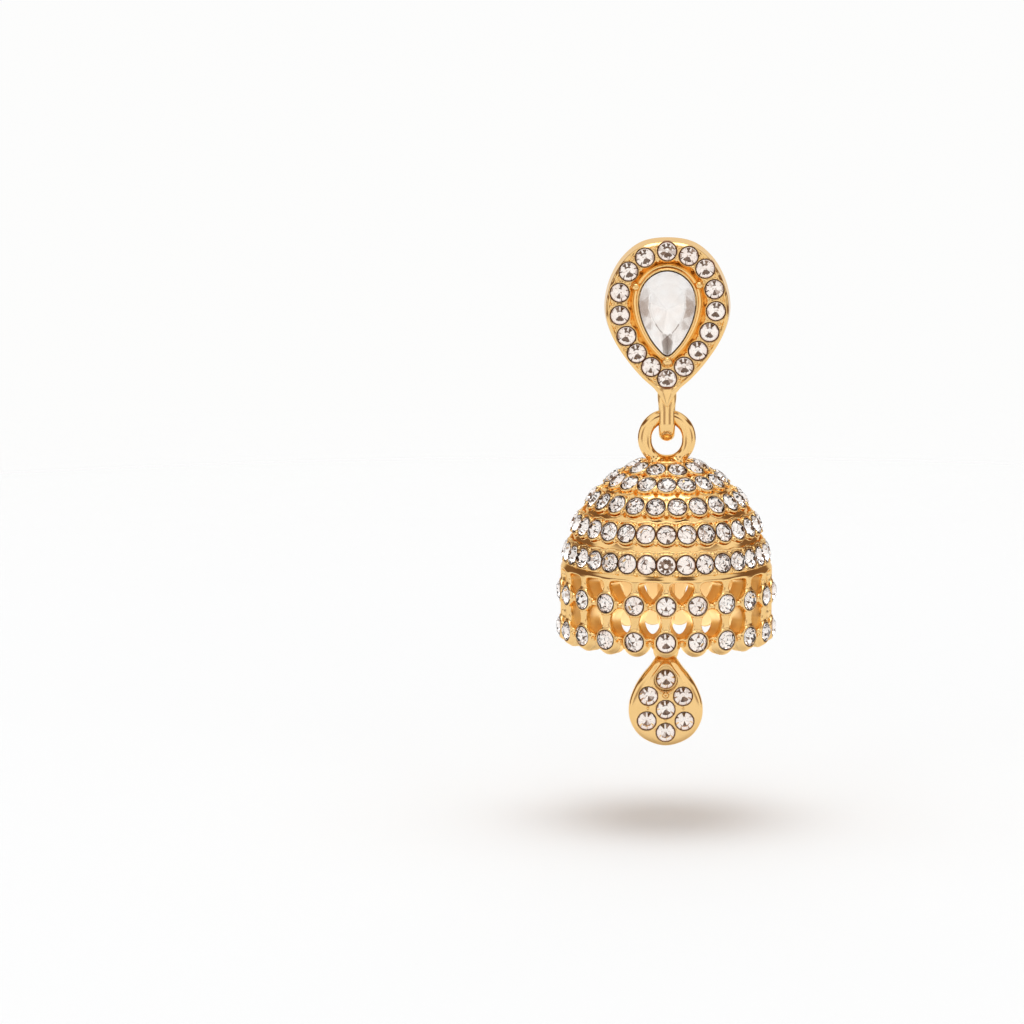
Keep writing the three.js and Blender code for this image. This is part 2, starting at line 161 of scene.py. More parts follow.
class Outline:
    """The signed distance to a closed outline, negative inside, read from a fine table."""

    def __init__(self, points, margin=2.5, pitch=0.05):
        lo, hi = points.min(0) - margin, points.max(0) + margin
        self.lo, self.pitch = lo, pitch
        x = np.arange(lo[0], hi[0] + pitch, pitch)
        z = np.arange(lo[1], hi[1] + pitch, pitch)
        gx, gz = np.meshgrid(x, z, indexing="ij")
        best = np.full(gx.shape, 1e9)
        inside = np.zeros(gx.shape, bool)
        for a, b in zip(points, np.roll(points, -1, 0)):
            ex, ez = b - a
            wx, wz = gx - a[0], gz - a[1]
            t = np.clip((wx * ex + wz * ez) / (ex * ex + ez * ez), 0, 1)
            best = np.minimum(best, (wx - ex * t) ** 2 + (wz - ez * t) ** 2)
            if abs(ez) > 1e-12:
                inside ^= ((a[1] <= gz) != (b[1] <= gz)) & (gx < ex * (gz - a[1]) / ez + a[0])
        self.table = np.where(inside, -1, 1) * np.sqrt(best)

    def __call__(self, x, z):
        u = np.clip((x - self.lo[0]) / self.pitch, 0, self.table.shape[0] - 1.001)
        v = np.clip((z - self.lo[1]) / self.pitch, 0, self.table.shape[1] - 1.001)
        i, j = u.astype(int), v.astype(int)
        fu, fv = u - i, v - j
        t = self.table
        return (t[i, j] * (1 - fu) + t[i + 1, j] * fu) * (1 - fv) + (t[i, j + 1] * (1 - fu) + t[i + 1, j + 1] * fu) * fv


# ------------------------------------------------------------------ meshes from fields


def nets(f, axes, wrap=False):
    """Points (in grid space) and quads of the zero surface of the samples f, one point in each cell that it crosses.
    With wrap the first axis closes on itself."""
    axes = [np.asarray(a, float) for a in axes]
    if wrap:
        f = np.concatenate([f, f[:1]], 0)
        axes[0] = np.append(axes[0], 2 * axes[0][-1] - axes[0][-2])
    inside = f < 0
    n = tuple(s - 1 for s in f.shape)
    total = np.zeros(n + (3,), np.float32)
    count = np.zeros(n, np.float32)

    def part(a, o):
        return a[o[0] : o[0] + n[0], o[1] : o[1] + n[1], o[2] : o[2] + n[2]]

    for axis in range(3):
        b, c = [k for k in range(3) if k != axis]
        for ob in (0, 1):
            for oc in (0, 1):
                lo = [0, 0, 0]
                lo[b], lo[c] = ob, oc
                hi = list(lo)
                hi[axis] = 1
                i = np.nonzero(part(inside, lo) != part(inside, hi))
                f0, f1 = part(f, lo)[i], part(f, hi)[i]
                t = f0 / (f0 - f1)
                for k in range(3):
                    at = axes[k][i[k] + lo[k]]
                    if k == axis:
                        at = at + t * (axes[k][i[k] + 1] - axes[k][i[k]])
                    total[i + (k,)] += at
                count[i] += 1
    used = count > 0
    ids = np.full(n, -1, np.int64)
    ids[used] = np.arange(int(used.sum()))
    points = (total[used] / count[used][:, None]).astype(float)
    quads = []
    for axis in range(3):
        b, c = [k for k in range(3) if k != axis]
        cut = np.diff(inside.astype(np.int8), axis=axis)
        i = np.nonzero(cut)
        keep = np.ones(len(i[0]), bool)
        for k in (b, c):
            if wrap and k == 0:
                keep &= i[0] < n[0]
            else:
                keep &= (i[k] > 0) & (i[k] < n[k])
        i = tuple(x[keep] for x in i)
        sign = cut[i]

        def cell(db, dc):
            j = [x.copy() for x in i]
            j[b] -= db
            j[c] -= dc
            if wrap:
                j[0] %= n[0]
            return ids[tuple(j)]

        q = np.stack([cell(1, 1), cell(0, 1), cell(0, 0), cell(1, 0)], 1)
        flip = (sign > 0) ^ (axis == 1)
        q[flip] = q[flip][:, ::-1]
        quads.append(q)
    return points, np.concatenate(quads)


def relax(points, quads, share, period=None):
    """Moves each point towards the middle of its neighbours. Neighbours across the wrap of the first axis are unwrapped."""
    a = quads.ravel()
    total = np.zeros_like(points)
    count = np.zeros(len(points))
    for turn in (1, 3):
        b = np.roll(quads, turn, 1).ravel()
        d = points[b] - points[a]
        if period:
            d[:, 0] -= period * np.round(d[:, 0] / period)
        for k in range(3):
            total[:, k] += np.bincount(a, d[:, k], len(points))
        count += np.bincount(a, minlength=len(points))
    return points + share * total / np.maximum(count, 1)[:, None]


def settle(points, f, reach, rounds=1):
    """Moves the points onto the zero surface of f."""
    e = 0.01
    for _ in range(rounds):
        x, y, z = points.T
        v = f(x, y, z)
        g = np.stack(
            [
                (f(x + e, y, z) - f(x - e, y, z)) / (2 * e),
                (f(x, y + e, z) - f(x, y - e, z)) / (2 * e),
                (f(x, y, z + e) - f(x, y, z - e)) / (2 * e),
            ],
            1,
        )
        move = -(v / np.maximum((g * g).sum(1), 0.05))[:, None] * g
        size = np.linalg.norm(move, axis=1)
        points = points + move * np.minimum(1, reach / np.maximum(size, 1e-9))[:, None]
    return points


def field_normals(points, f, place):
    """The normals of the field itself at points in grid space, turned into the space that place maps to."""
    e = 0.035
    slopes, rows = [], []
    for k in range(3):
        d = np.zeros(3)
        d[k] = e
        up, down = (points + d).T, (points - d).T
        slopes.append((f(*up) - f(*down)) / (2 * e))
        rows.append((place(*up) - place(*down)) / (2 * e))
    rows = np.stack(rows, 1)
    flat = np.abs(np.linalg.det(rows)) < 0.05
    rows[flat] = np.eye(3)
    n = np.linalg.solve(rows, np.stack(slopes, 1)[..., None])[..., 0]
    n = n / np.maximum(np.linalg.norm(n, axis=1), 1e-9)[:, None]
    n[flat] = np.nan
    return n


def cast(f, axes, wrap=False):
    """The zero surface of the field f over the grid, as points in grid space and quads."""
    grid = np.meshgrid(*axes, indexing="ij", sparse=True)
    samples = np.broadcast_to(f(*grid), tuple(len(a) for a in axes)).astype(np.float32)
    points, quads = nets(samples, axes, wrap)
    pitch = axes[0][1] - axes[0][0]
    period = pitch * len(axes[0]) if wrap else None
    points = settle(points, f, 0.5 * pitch)
    points = relax(points, quads, 0.5, period)
    points = settle(points, f, 0.5 * pitch)
    points = relax(points, quads, 0.25, period)
    points = settle(points, f, 0.5 * pitch)
    return points, quads


def draw_together(quads, seat, depth):
    """Draws the points of each seat's conical floor, numbered by seat and -1 elsewhere, together into its lowest point.
    Returns the quads and triangles that are left."""
    ids = np.arange(len(seat))
    inside = np.nonzero(seat >= 0)[0]
    order = inside[np.lexsort((depth[inside], seat[inside]))]
    first = np.r_[True, np.diff(seat[order]) > 0]
    ids[order] = order[first][np.cumsum(first) - 1]
    q = ids[quads]
    same = q == np.roll(q, -1, 1)
    crossed = (q[:, 0] == q[:, 2]) | (q[:, 1] == q[:, 3])
    whole = ~same.any(1) & ~crossed
    one = (same.sum(1) == 1) & ~crossed
    at = np.argmax(same[one], 1)
    rows = np.nonzero(one)[0]
    triangles = np.stack([q[rows, at], q[rows, (at + 2) % 4], q[rows, (at + 3) % 4]], 1)
    return [q[whole], triangles]


def choose(faces, keep):
    """The faces of which every corner may be kept, and the points that they use with their new numbers."""
    faces = [f[keep(f)] for f in faces]
    used = np.zeros(max(f.max() for f in faces if len(f)) + 1, bool)
    for f in faces:
        used[f.ravel()] = True
    new = np.cumsum(used) - 1
    return np.nonzero(used)[0], [new[f] for f in faces]


def outward(points, faces):
    """The faces, all turned over if their volume comes out negative."""
    q = points[faces]
    volume = 0.0
    for k in range(1, faces.shape[1] - 1):
        volume += np.einsum("ij,ij->i", q[:, 0], np.cross(q[:, k], q[:, k + 1])).sum()
    return faces if volume > 0 else faces[:, ::-1]


def sweep(rings, closed_rings=True, closed_path=False):
    """Points and quads through rings of equal length, an array of rings x points x 3."""
    r = np.array(rings, float)
    m, n = r.shape[:2]
    i, j = np.meshgrid(np.arange(m if closed_path else m - 1), np.arange(n if closed_rings else n - 1), indexing="ij")
    i, j = i.ravel(), j.ravel()
    i2, j2 = (i + 1) % m, (j + 1) % n
    return r.reshape(-1, 3), np.stack([i * n + j, i * n + j2, i2 * n + j2, i2 * n + j], 1)


def lathe(profile, segments, x=0.0, y=AXIS_Y, axis="z"):
    """A turned body round a vertical axis (or one along +Y), from (radius, distance) pairs."""
    a = np.arange(segments) * 2 * math.pi / segments
    rings = []
    for r, d in profile:
        r = max(r, 1e-4)
        if axis == "z":
            rings.append(np.stack([x + r * np.cos(a), y + r * np.sin(a), np.full_like(a, d)], 1))
        else:
            rings.append(np.stack([x + r * np.cos(a), np.full_like(a, d), y + r * np.sin(a)], 1))
    return sweep(rings)


class Build:
    """Collects points, quads and triangles of one mesh, with a material index and a shade for each part."""

    def __init__(self):
        self.points, self.faces, self.mats, self.shades, self.inners, self.smooth = [], [], [], [], [], []
        self.normals = []
        self.size = 0

    def add(self, points, faces, mat=0, shade=None, smooth=True, inner=None, normals=None):
        """faces is one array, or a list with an array of quads and one of triangles."""
        self.points.append(np.asarray(points, float))
        self.normals.append(np.full((len(points), 3), np.nan) if normals is None else normals)
        self.shades.append(np.zeros(len(points)) if shade is None else np.asarray(shade, float))
        self.inners.append(np.zeros(len(points)) if inner is None else np.asarray(inner, float))
        for part in faces if isinstance(faces, list) else [faces]:
            if len(part) == 0:
                continue
            part = np.asarray(part)
            self.faces.append(part + self.size)
            self.mats.append(np.full(len(part), mat))
            self.smooth.append(np.full(len(part), smooth))
        self.size += len(points)
        return self

    def make(self, name, materials, body, slot):
        points = np.concatenate(self.points)
        me = bpy.data.meshes.new(name)
        me.vertices.add(len(points))
        me.vertices.foreach_set("co", (points * MM).astype(np.float32).ravel())
        loops = np.concatenate([f.ravel() for f in self.faces]).astype(np.int32)
        sizes = np.concatenate([np.full(len(f), f.shape[1]) for f in self.faces])
        starts = np.concatenate([[0], np.cumsum(sizes)[:-1]]).astype(np.int32)
        me.loops.add(len(loops))
        me.loops.foreach_set("vertex_index", loops)
        me.polygons.add(len(sizes))
        me.polygons.foreach_set("loop_start", starts)
        me.polygons.foreach_set("material_index", np.concatenate(self.mats).astype(np.int32))
        me.polygons.foreach_set("use_smooth", np.concatenate(self.smooth))
        for label, values in (("shade", self.shades), ("inner", self.inners)):
            layer = me.attributes.new(label, "FLOAT", "POINT")
            layer.data.foreach_set("value", np.concatenate(values).astype(np.float32))
        me.update(calc_edges=True)
        me.validate()
        normals = np.concatenate(self.normals)
        if np.isfinite(normals).any():
            own = np.zeros(len(points) * 3, np.float32)
            me.vertex_normals.foreach_get("vector", own)
            own = own.reshape(-1, 3)
            # where the two differ much, at a sharp edge, the mesh's own normal stays
            good = np.isfinite(normals).all(1)
            good[good] = (normals[good] * own[good]).sum(1) > 0.6
            own[good] = normals[good]
            me.normals_split_custom_set_from_vertices(own.tolist())
        for m in materials:
            me.materials.append(m)
        o = bpy.data.objects.new(name, me)
        bpy.context.scene.collection.objects.link(o)
        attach(o, body)
        print(name, "triangles", int((sizes - 2).sum()))
        return o


# ------------------------------------------------------------------ materials


def tree_of(name):
    m = bpy.data.materials.new(name)
    m.use_nodes = True
    t = m.node_tree
    return m, t, t.nodes, t.links, t.nodes["Principled BSDF"]


def noise(nodes, links, coords, scale, detail=2.0, rough=0.5):
    n = nodes.new("ShaderNodeTexNoise")
    n.inputs["Scale"].default_value = scale
    n.inputs["Detail"].default_value = detail
    n.inputs["Roughness"].default_value = rough
    links.new(coords.outputs["Object"], n.inputs["Vector"])
    return n


def spread(nodes, links, source, lo, hi, out_lo, out_hi):
    r = nodes.new("ShaderNodeMapRange")
    r.inputs["From Min"].default_value = lo
    r.inputs["From Max"].default_value = hi
    r.inputs["To Min"].default_value = out_lo
    r.inputs["To Max"].default_value = out_hi
    links.new(source, r.inputs["Value"])
    return r


def blend_colours(nodes, links, factor, a, b):
    m = nodes.new("ShaderNodeMix")
    m.data_type = "RGBA"
    links.new(factor, m.inputs["Factor"])
    for socket, value in ((m.inputs["A"], a), (m.inputs["B"], b)):
        if isinstance(value, tuple):
            socket.default_value = value + (1.0,)
        else:
            links.new(value, socket)
    return m


def maths_mix(nodes, links, factor, value, target):
    """The value, moved towards the target by the factor."""
    m = nodes.new("ShaderNodeMix")
    m.data_type = "FLOAT"
    links.new(factor, m.inputs["Factor"])
    if value is not None:
        links.new(value, m.inputs["A"])
    m.inputs["B"].default_value = target
    return m.outputs["Result"]


def gold(name, light, deep, rough_lo, rough_hi, wave):
    """Polished gold plating over a casting: slow changes of tone and slight waves, with painted shade and painted
    light: dark brown, less metal and more roughness painted where the shade attribute marks the stones' seats and
    hollows, and a lighter, more orange, rougher gold painted where the inner attribute marks surfaces inside the bell.
    """
    m, t, nodes, links, bsdf = tree_of(name)
    coords = nodes.new("ShaderNodeTexCoord")
    tone = noise(nodes, links, coords, 420.0, 3.0)
    tone_range = spread(nodes, links, tone.outputs["Fac"], 0.3, 0.7, 0.0, 1.0)
    colour = blend_colours(nodes, links, tone_range.outputs["Result"], light, deep)
    shade = nodes.new("ShaderNodeAttribute")
    shade.attribute_name = "shade"
    inner = nodes.new("ShaderNodeAttribute")
    inner.attribute_name = "inner"
    # painted bounce light: where the inner attribute is set the colour goes to a lighter, more orange gold
    painted_bounce = blend_colours(nodes, links, inner.outputs["Fac"], colour.outputs["Result"], (1.0, 0.76, 0.40))
    # painted shade: where the shade attribute is set the colour goes to dark brown, and below the metal is dulled
    dark = blend_colours(nodes, links, shade.outputs["Fac"], painted_bounce.outputs["Result"], (0.19, 0.058, 0.022))
    links.new(dark.outputs["Result"], bsdf.inputs["Base Color"])
    metal = maths_mix(nodes, links, shade.outputs["Fac"], None, 0.15)
    metal.node.inputs["A"].default_value = 1.0
    links.new(metal, bsdf.inputs["Metallic"])
    bsdf.inputs["Specular Tint"].default_value = (1.0, 0.86, 0.62, 1.0)
    bsdf.inputs["Specular IOR Level"].default_value = 0.15
    fine = noise(nodes, links, coords, 1900.0, 4.0, 0.6)
    rough = spread(nodes, links, fine.outputs["Fac"], 0.3, 0.7, rough_lo, rough_hi)
    duller = maths_mix(nodes, links, inner.outputs["Fac"], rough.outputs["Result"], 0.48)
    duller = maths_mix(nodes, links, shade.outputs["Fac"], duller, 0.55)
    links.new(duller, bsdf.inputs["Roughness"])
    waves = noise(nodes, links, coords, 1100.0, 2.0, 0.45)
    b = nodes.new("ShaderNodeBump")
    b.inputs["Strength"].default_value = 1.0
    b.inputs["Distance"].default_value = wave
    links.new(waves.outputs["Fac"], b.inputs["Height"])
    links.new(b.outputs["Normal"], bsdf.inputs["Normal"])
    return m


def crystal(name, tint):
    m, t, nodes, links, bsdf = tree_of(name)
    coords = nodes.new("ShaderNodeTexCoord")
    cloud = noise(nodes, links, coords, 700.0, 1.0)
    colour = blend_colours(nodes, links, cloud.outputs["Fac"], tint, tuple(min(1.0, c * 1.02) for c in tint))
    links.new(colour.outputs["Result"], bsdf.inputs["Base Color"])
    bsdf.inputs["Transmission Weight"].default_value = 1.0
    bsdf.inputs["Roughness"].default_value = 0.0
    bsdf.inputs["IOR"].default_value = 1.56
    return m


def foil(name, light, deep, rough, metal=1.0):
    """The mirrored back of a crystal: silvered, faintly pink-gold, not quite even, with painted shade: a copper-brown
    painted along the girdle as the dark ring where the seat shades the stone's edge.
    """
    m, t, nodes, links, bsdf = tree_of(name)
    coords = nodes.new("ShaderNodeTexCoord")
    cloud = noise(nodes, links, coords, 900.0, 2.0)
    r = spread(nodes, links, cloud.outputs["Fac"], 0.35, 0.65, 0.0, 1.0)
    colour = blend_colours(nodes, links, r.outputs["Result"], light, deep)
    # painted shade: the girdle points marked by the shade attribute are darkened to copper-brown
    edge = nodes.new("ShaderNodeAttribute")
    edge.attribute_name = "shade"
    narrow = nodes.new("ShaderNodeMath")
    narrow.operation = "POWER"
    links.new(edge.outputs["Fac"], narrow.inputs[0])
    narrow.inputs[1].default_value = 12.0
    painted_girdle_shade = blend_colours(nodes, links, narrow.outputs[0], colour.outputs["Result"], (0.52, 0.25, 0.13))
    links.new(painted_girdle_shade.outputs["Result"], bsdf.inputs["Base Color"])
    bsdf.inputs["Metallic"].default_value = metal
    bsdf.inputs["Roughness"].default_value = rough
    return m


GOLD = gold("plated_gold", (0.925, 0.62, 0.275), (0.895, 0.59, 0.245), 0.10, 0.13, 0.0000015)
# painted bounce light: a lighter, more orange, rougher copy of the gold for the surfaces inside the bell
GOLD_INSIDE_LIT = gold("plated_gold_inside_painted_bounce", (0.95, 0.66, 0.32), (0.90, 0.60, 0.27), 0.34, 0.46, 0.000003)
CLEAR = crystal("clear_crystal", (0.985, 0.965, 0.95))
FOIL = foil("crystal_foil", (0.995, 0.975, 0.955), (0.97, 0.915, 0.88), 0.04)
FOIL_LARGE = foil("large_crystal_foil", (0.995, 0.985, 0.975), (0.97, 0.93, 0.90), 0.14, 0.95)

# ------------------------------------------------------------------ crystals


def chaton():
    """A round stone of radius 1 with its girdle at height 0: a table and eight facets round it above, and eight long
    flat facets down to a point below. Returns points, crown faces and back faces."""
    pts, crown, back = [], [], []

    def ring(n, r, h, turn=0.0):
        first = len(pts)
        for k in range(n):
            a = 2 * math.pi * (k + turn) / n
            pts.append((r * math.cos(a), r * math.sin(a), h))
        return first

    table = ring(8, 0.60, 0.33)
    girdle_n = 32
    top = len(pts)
    for k in range(girdle_n):
        a = 2 * math.pi * k / girdle_n
        off = ((k % 4) - 2) * 2 * math.pi / girdle_n  # from the middle of the facet
        pts.append((math.cos(a), math.sin(a), 0.33 - 0.67 * (math.cos(off) - 0.60 * math.cos(math.pi / 8))))
    low = len(pts)
    for k in range(girdle_n):
        a = 2 * math.pi * k / girdle_n
        off = (k % 4 - 2) * 2 * math.pi / girdle_n  # from the middle of the facet
        pts.append((math.cos(a), math.sin(a), -0.93 + 0.885 * math.cos(off)))
    culet = len(pts)
    pts.append((0.0, 0.0, -0.93))
    flat = len(pts)
    pts.append((0.0, 0.0, 0.33))
    for k in range(8):
        k2 = (k + 1) % 8
        g = 4 * k  # the girdle's point under table corner k
        crown.append((flat, table + k, table + k2))
        crown.append((table + k, top + g, top + g + 1))
        crown.append((table + k, top + g + 1, top + g + 2))
        crown.append((table + k, top + g + 2, table + k2))
        crown.append((table + k2, top + g + 2, top + g + 3))
        crown.append((table + k2, top + g + 3, top + (g + 4) % girdle_n))
    for k in range(girdle_n):
        k2 = (k + 1) % girdle_n
        crown.append((top + k, low + k, low + k2))
        crown.append((top + k, low + k2, top + k2))
        back.append((culet, low + k2, low + k))
    return np.array(pts), np.array(crown), np.array(back)


CHATON = chaton()


def set_stones(build, places, radius=STONE_R):
    """Adds a round stone for each (centre, normal), turned and tilted a little at random."""
    pts, crown, back = CHATON
    for centre, normal in places:
        n = Vector(normal).normalized()
        tilt = RNG.normal(0, 0.028, 3)
        n = (n + Vector(tilt)).normalized()
        u = n.orthogonal().normalized()
        v = n.cross(u)
        a = RNG.uniform(0, 2 * math.pi)
        c, s = math.cos(a), math.sin(a)
        u, v = u * c + v * s, v * c - u * s
        basis = np.array([u, v, n])
        p = pts * radius @ basis + np.array(centre) + np.array(n) * RNG.normal(0, 0.012)
        build.add(p, crown, 0, smooth=False)
        # the back's girdle points are marked for the foil's painted shade
        build.add(p, back, 1, np.hypot(pts[:, 0], pts[:, 1]) > 0.9, smooth=False)


# ------------------------------------------------------------------ stud

stud_edge = even(through(mirrored(STUD_OUTLINE), 24), 160)
pear_edge = even(through(mirrored(PEAR_OUTLINE), 24), 120)
STUD = Outline(stud_edge)
PEAR = Outline(pear_edge)
border = STUD_STONES


def nearest(x, z, centres):
    return np.sqrt(np.minimum.reduce([(x - cx) ** 2 + (z - cz) ** 2 for cx, cz in centres]))


def loop_field(x, y, z):
    """The stud's loop. y is the distance behind the hanging axis."""
    low = np.clip((LOOP_LOW - z) / 1.6, 0, 1)
    half = (LOOP_OUT - LOOP_IN) / 2 + 0.14 * low
    dz = z - np.clip(z, LOOP_LOW, LOOP_TOP)
    q = np.sqrt(y * y + dz * dz)
    across = 0.85 + 0.06 * np.clip(y / LOOP_OUT, -1, 1) + 0.12 * step(-11.6, -10.2, z)
    e = np.sqrt(((q - (LOOP_OUT - half)) / half) ** 2 + (x / across) ** 2 + 1e-9)
    return (e - 1) * half


def stud_field(x, w, z):
    o = STUD(x, z)
    p = PEAR(x, z)
    s = nearest(x, z, border)
    relief = BAND_W + 0.07 * bump(s, 1.17, 0.13) - 0.05 * step(0.2, 0.9, s - 1.1)
    relief = relief + 0.24 * bump(o, -0.52, 0.16)  # the raised rim
    slope = step(0.55, 1.30, p)
    relief = 2.78 + (relief - 2.78) * slope + 0.08 * bump(p, 1.34, 0.13)
    body = smax(smax(o + 0.07 * w, -w, 0.25), w - relief, 0.14)
    body = smax(body, -(s - 1.035 - np.minimum(0, w - BAND_W + 0.10)), 0.05)
    body = smax(body, -np.maximum(p - 0.12, 1.5 - w), 0.05)
    # prongs between the stones, towards the rim and towards the moat
    for bx, bz, r in prongs:
        d = np.sqrt((x - bx) ** 2 + (z - bz) ** 2 + (w - BAND_W - 0.03) ** 2) - r
        body = smin(body, d, 0.07)
    for bx, bz, r in STUD_BALLS:
        top = 3.42
        dw = w - np.clip(w, 1.9, top)
        stalk = np.sqrt((x - bx) ** 2 + (z - bz) ** 2 + dw * dw) - r * (0.82 + 0.18 * step(2.7, 3.2, w))
        body = smin(body, stalk, 0.10)
    body = smin(body, loop_field(x, -w - AXIS_Y, z), 0.12)
    # the beak that overlaps the loop at the tip
    t = np.clip((-9.2 - z) / 1.65, 0, 1)
    wide, thick = 1.12 - 0.99 * t, 0.54 - 0.30 * t
    beak = (np.abs(x) / wide) ** 2.2 + (np.abs(w - 3.14 - 0.32 * t) / thick) ** 2.2
    beak = ((beak + 1e-9) ** (1 / 2.2) - 1) * np.minimum(wide, thick)
    beak = smax(beak, np.maximum(z + 8.75, -10.9 - z), 0.10)
    return smin(body, beak, 0.04 + 0.22 * step(-9.9, -9.3, z))


prongs = []
for (ax, az), (bx, bz) in zip(border, border[1:] + border[:1]):
    mx, mz = (ax + bx) / 2, (az + bz) / 2
    dx, dz = bx - ax, bz - az
    size = math.hypot(dx, dz)
    nx, nz = dz / size, -dx / size
    away = 1 if nx * mx + nz * (mz + 0.6) > 0 else -1
    for side, r in ((0.72, 0.17), (-0.72, 0.17)):
        prongs.append((mx + nx * away * side, mz + nz * away * side, r))

axes = [np.arange(-7.2, 7.21, 0.1), np.arange(-0.95, 4.15, 0.1), np.arange(-15.2, 7.3, 0.1)]
pts, quads = cast(stud_field, axes)
s = nearest(pts[:, 0], pts[:, 2], border)
# painted shade: dark brown round each stone's seat, on the front only
shade = 0.95 * (1 - step(1.05, 1.12, s)) * step(2.1, 2.4, pts[:, 1])
def stud_place(x, w, z):
    return np.stack([x, -w, z], 1)


xyz = stud_place(*pts.T)
stud = Build().add(xyz, outward(xyz, quads), 0, shade, normals=field_normals(pts, stud_field, stud_place))

# bezel: a thin wall round the large stone with a bright rounded lip
normal = np.roll(pear_edge, -1, 0) - np.roll(pear_edge, 1, 0)
normal /= np.linalg.norm(normal, axis=1)[:, None]
normal = np.stack([-normal[:, 1], normal[:, 0]], 1)
if (normal[0] * np.array([0, 1])).sum() < 0:
    normal = -normal
lip = [
    (0.42, 1.6), (0.40, 3.0), (0.37, 3.45), (0.34, 3.64), (0.29, 3.75), (0.22, 3.79), (0.15, 3.76), (0.10, 3.69),
    (0.08, 3.60), (0.09, 3.3), (0.12, 2.6), (0.12, 1.6),
]
rings = []
for off, w in lip:
    q = pear_edge + normal * off
    rings.append(np.stack([q[:, 0], np.full(len(q), -w), q[:, 1]], 1))
pts, quads = sweep(rings, closed_path=True)
# painted shade: the lip's inner side and the wall beside the stone are painted dark
dark = np.repeat([0, 0, 0, 0, 0, 0, 0, 0.75, 0.95, 0.95, 0.95, 0.95], len(pear_edge))
stud.add(pts, outward(pts, quads), 0, dark)

# ear post with its foot and the clutch's groove
post = [
    (0.0, -0.5), (0.9, -0.5), (0.88, 0.0), (0.70, 0.10), (0.53, 0.26), (0.45, 0.5), (0.43, 0.9), (0.43, 8.15), (0.41, 8.3),
    (0.34, 8.5), (0.33, 8.6), (0.34, 8.7), (0.41, 8.9), (0.43, 9.05), (0.43, 10.5), (0.40, 10.75), (0.30, 10.92),
    (0.15, 10.99), (0.0, 11.0),
]
pts, quads = lathe(post, 28, 0.0, 0.0, "y")
stud.add(pts, outward(pts, quads), 0)
stud = stud.make("stud_metal", [GOLD], "stud", "gold_plate")
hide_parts("stud_setting")

stones = Build()
set_stones(stones, [((x, -(BAND_W + 0.05), z), (0, -1, 0)) for x, z in border])
stones.make("stud_border_crystals", [CLEAR, FOIL], "stud", "crystal")

# ------------------------------------------------------------------ large stone


def pear_stone():
    """Pear cut: a large table, stars and mains on the crown, and long facets that run down to a point behind."""
    b = Build()
    n = len(pear_edge)
    centre = np.array([0.0, 0.12])

    def ring(share, w, count, turn=0.0):
        at = (np.arange(count) + turn) * n / count
        i = np.floor(at).astype(int) % n
        fr = at - np.floor(at)
        q = pear_edge[i] * (1 - fr)[:, None] + pear_edge[(i + 1) % n] * fr[:, None]
        q = centre + (q - centre) * share
        return np.stack([q[:, 0], np.full(count, -w), q[:, 1]], 1)

    m = 12
    table = ring(0.62, 4.22, m)
    middle = ring(0.81, 4.05, m, 0.5)
    top = ring(1.0, 3.80, 4 * m)
    low = ring(1.0, 3.4, 4 * m)
    hip = ring(0.64, 3.37, m, 0.5)
    culet = np.array([[centre[0], -2.87, centre[1] - 0.62]])
    flat = np.array([[centre[0], -4.22, centre[1]]])
    pts = np.concatenate([table, middle, top, low, hip, culet, flat])
    o = np.cumsum([0, m, m, 4 * m, 4 * m, m, 1])
    crown, back = [], []
    for k in range(m):
        k2 = (k + 1) % m
        crown.append((o[6], o[0] + k, o[0] + k2))
        crown.append((o[0] + k, o[1] + k, o[0] + k2))
        g = 4 * k
        crown.append((o[0] + k, o[1] + (k - 1) % m, o[2] + g))
        crown.append((o[0] + k, o[2] + g, o[1] + k))
        for s in range(4):
            crown.append((o[1] + k, o[2] + g + s, o[2] + (g + s + 1) % (4 * m)))
            back.append((o[3] + g + s, o[4] + k, o[3] + (g + s + 1) % (4 * m)))
        back.append((o[3] + (g + 4) % (4 * m), o[4] + k, o[4] + k2))
        back.append((o[4] + k, o[5], o[4] + k2))
    for k in range(4 * m):
        k2 = (k + 1) % (4 * m)
        crown.append((o[2] + k, o[3] + k, o[3] + k2))
        crown.append((o[2] + k, o[3] + k2, o[2] + k2))
    faces = np.array(crown + back)
    turned = outward(pts, faces)
    b.add(pts, turned[: len(crown)], 0, smooth=False)
    b.add(pts, turned[len(crown) :], 1, smooth=False)
    return b


large = pear_stone().make("centre_crystal", [CLEAR, FOIL_LARGE], "stud", "crystal")
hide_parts("centre_stone")

# ------------------------------------------------------------------ bell: dome


class Meridian:
    """The dome's outer line as a function of the length along it from the crown."""

    def __init__(self, rows):
        p = even(through(rows, 40, closed=False), 1200, closed=False)
        self.s = np.concatenate([[0], np.cumsum(np.linalg.norm(np.diff(p, axis=0), axis=1))])
        self.r, self.z = p[:, 0], p[:, 1]
        t = np.gradient(p, axis=0)
        t /= np.linalg.norm(t, axis=1)[:, None]
        self.nr, self.nz = -t[:, 1], t[:, 0]
        for _ in range(60):  # evens out the joints of the curve's spans
            self.nr[1:-1] = (self.nr[:-2] + self.nr[1:-1] * 2 + self.nr[2:]) / 4
            self.nz[1:-1] = (self.nz[:-2] + self.nz[1:-1] * 2 + self.nz[2:]) / 4

    def at(self, s):
        return [np.interp(s, self.s, v) for v in (self.r, self.z, self.nr, self.nz)]

    def nearest(self, r, z):
        return self.s[np.argmin((self.r - r) ** 2 + (self.z - z) ** 2)]


LINE = Meridian(DOME_LINE)
R0 = 11.0
UNDER = 0.10  # the metal's level under the girdles
dome_rows = []
for r, z, count, phase in DOME_ROWS:
    s = LINE.nearest(r, z)
    cr, cz, nr, nz = [float(v) for v in LINE.at(s)]
    size = math.hypot(nr, nz)
    dome_rows.append((s, cr, cz, nr / size, nz / size, count, phase))


